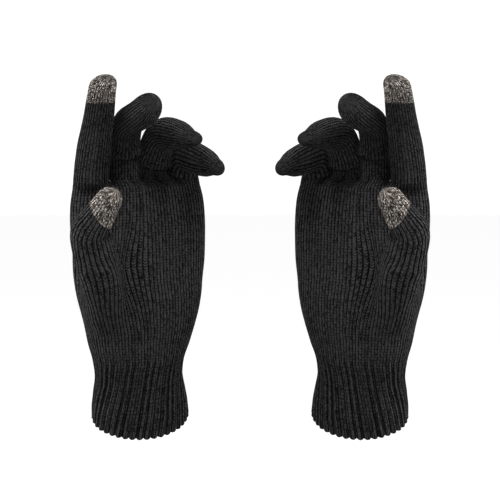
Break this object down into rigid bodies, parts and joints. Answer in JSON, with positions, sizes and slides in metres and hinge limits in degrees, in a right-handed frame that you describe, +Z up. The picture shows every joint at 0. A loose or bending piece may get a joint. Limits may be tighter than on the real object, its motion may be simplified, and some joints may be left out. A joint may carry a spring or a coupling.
{
  "type": "touchscreen gloves",
  "caption": "Pair of black knitted gloves with ribbed cuffs and conductive thumb and index fingertips, standing as if worn on raised, half-open hands.",
  "frame": {"origin": "midway between the two cuffs' openings, at the height of their centres, where the wearer's forearms would enter", "axes": "+Z up towards the fingertips, palms facing -Y, left-hand image glove at -X and its mirror at +X"},
  "size_m": [0.2242, 0.0961, 0.2304],
  "materials": {
    "black_knit": "matte, fine plain knit with vertical wales",
    "rib_knit": "matte ribbed knit",
    "conductive_knit": "melange knit of black, beige and silver yarn",
    "elastic": "matte"
  },
  "bodies": {
    "left_hand": {"left_hem": "rib_knit", "left_cuff": "rib_knit", "left_cuff_elastic": "elastic", "left_heel": "black_knit", "left_palm": "black_knit"},
    "left_index_base": {"left_index_base": "black_knit"},
    "left_index_end": {"left_index_end": "black_knit", "left_index_tip": "conductive_knit"},
    "left_middle_base": {"left_middle_base": "black_knit"},
    "left_middle_end": {"left_middle_end": "black_knit"},
    "left_ring_base": {"left_ring_base": "black_knit"},
    "left_ring_end": {"left_ring_end": "black_knit"},
    "left_little_base": {"left_little_base": "black_knit"},
    "left_little_end": {"left_little_end": "black_knit"},
    "left_thumb_base": {"left_thumb_base": "black_knit"},
    "left_thumb_end": {"left_thumb_end": "black_knit", "left_thumb_tip": "conductive_knit"},
    "right_hand": {"right_hem": "rib_knit", "right_cuff": "rib_knit", "right_cuff_elastic": "elastic", "right_heel": "black_knit", "right_palm": "black_knit"},
    "right_index_base": {"right_index_base": "black_knit"},
    "right_index_end": {"right_index_end": "black_knit", "right_index_tip": "conductive_knit"},
    "right_middle_base": {"right_middle_base": "black_knit"},
    "right_middle_end": {"right_middle_end": "black_knit"},
    "right_ring_base": {"right_ring_base": "black_knit"},
    "right_ring_end": {"right_ring_end": "black_knit"},
    "right_little_base": {"right_little_base": "black_knit"},
    "right_little_end": {"right_little_end": "black_knit"},
    "right_thumb_base": {"right_thumb_base": "black_knit"},
    "right_thumb_end": {"right_thumb_end": "black_knit", "right_thumb_tip": "conductive_knit"}
  },
  "joints": [
    {"name": "left_index_knuckle", "type": "hinge", "parent": "left_hand", "child": "left_index_base", "pos_m": [-0.0972, -0.02728, 0.161], "axis": [0.9063, 0.4226, 0], "range_deg": [-20, 45]},
    {"name": "left_index_middle_knuckle", "type": "hinge", "parent": "left_index_base", "child": "left_index_end", "pos_m": [-0.09403, -0.03409, 0.19004], "axis": [0.9063, 0.4226, 0], "range_deg": [-15, 55]},
    {"name": "left_middle_knuckle", "type": "hinge", "parent": "left_hand", "child": "left_middle_base", "pos_m": [-0.07769, -0.01399, 0.161], "axis": [0.9063, 0.4226, 0], "range_deg": [-30, 30]},
    {"name": "left_middle_middle_knuckle", "type": "hinge", "parent": "left_middle_base", "child": "left_middle_end", "pos_m": [-0.07353, -0.02292, 0.18881], "axis": [0.9063, 0.4226, 0], "range_deg": [-45, 20]},
    {"name": "left_ring_knuckle", "type": "hinge", "parent": "left_hand", "child": "left_ring_base", "pos_m": [-0.05895, -0.00591, 0.159], "axis": [0.809, 0.5878, 0], "range_deg": [-30, 20]},
    {"name": "left_ring_middle_knuckle", "type": "hinge", "parent": "left_ring_base", "child": "left_ring_end", "pos_m": [-0.05158, -0.01605, 0.18359], "axis": [0.809, 0.5878, 0], "range_deg": [-60, 10]},
    {"name": "left_little_knuckle", "type": "hinge", "parent": "left_hand", "child": "left_little_base", "pos_m": [-0.03963, 0.00039, 0.152], "axis": [0.809, 0.5878, 0], "range_deg": [-30, 12]},
    {"name": "left_little_middle_knuckle", "type": "hinge", "parent": "left_little_base", "child": "left_little_end", "pos_m": [-0.0358, -0.00488, 0.16662], "axis": [0.809, 0.5878, 0], "range_deg": [-60, 12]},
    {"name": "left_thumb_knuckle", "type": "hinge", "parent": "left_hand", "child": "left_thumb_base", "pos_m": [-0.0922, -0.0483, 0.0974], "axis": [0.0241, 0.9582, 0.2851], "range_deg": [-15, 20]},
    {"name": "left_thumb_middle_knuckle", "type": "hinge", "parent": "left_thumb_base", "child": "left_thumb_end", "pos_m": [-0.0964, -0.057, 0.127], "axis": [0.0241, 0.9582, 0.2851], "range_deg": [-30, 30]},
    {"name": "right_index_knuckle", "type": "hinge", "parent": "right_hand", "child": "right_index_base", "pos_m": [0.0972, -0.02728, 0.161], "axis": [0.9063, -0.4226, 0], "range_deg": [-20, 45]},
    {"name": "right_index_middle_knuckle", "type": "hinge", "parent": "right_index_base", "child": "right_index_end", "pos_m": [0.09403, -0.03409, 0.19004], "axis": [0.9063, -0.4226, 0], "range_deg": [-15, 55]},
    {"name": "right_middle_knuckle", "type": "hinge", "parent": "right_hand", "child": "right_middle_base", "pos_m": [0.07769, -0.01399, 0.161], "axis": [0.9063, -0.4226, 0], "range_deg": [-30, 30]},
    {"name": "right_middle_middle_knuckle", "type": "hinge", "parent": "right_middle_base", "child": "right_middle_end", "pos_m": [0.07353, -0.02292, 0.18881], "axis": [0.9063, -0.4226, 0], "range_deg": [-45, 20]},
    {"name": "right_ring_knuckle", "type": "hinge", "parent": "right_hand", "child": "right_ring_base", "pos_m": [0.05895, -0.00591, 0.159], "axis": [0.809, -0.5878, 0], "range_deg": [-30, 20]},
    {"name": "right_ring_middle_knuckle", "type": "hinge", "parent": "right_ring_base", "child": "right_ring_end", "pos_m": [0.05158, -0.01605, 0.18359], "axis": [0.809, -0.5878, 0], "range_deg": [-60, 10]},
    {"name": "right_little_knuckle", "type": "hinge", "parent": "right_hand", "child": "right_little_base", "pos_m": [0.03963, 0.00039, 0.152], "axis": [0.809, -0.5878, 0], "range_deg": [-30, 12]},
    {"name": "right_little_middle_knuckle", "type": "hinge", "parent": "right_little_base", "child": "right_little_end", "pos_m": [0.0358, -0.00488, 0.16662], "axis": [0.809, -0.5878, 0], "range_deg": [-60, 12]},
    {"name": "right_thumb_knuckle", "type": "hinge", "parent": "right_hand", "child": "right_thumb_base", "pos_m": [0.0922, -0.0483, 0.0974], "axis": [0.0241, -0.9582, -0.2851], "range_deg": [-15, 20]},
    {"name": "right_thumb_middle_knuckle", "type": "hinge", "parent": "right_thumb_base", "child": "right_thumb_end", "pos_m": [0.0964, -0.057, 0.127], "axis": [0.0241, -0.9582, -0.2851], "range_deg": [-30, 30]},
    {"name": "gloves_apart", "type": "slide", "parent": "left_hand", "child": "right_hand", "axis": [1, 0, 0], "range_m": [0, 0.12]}
  ]
}
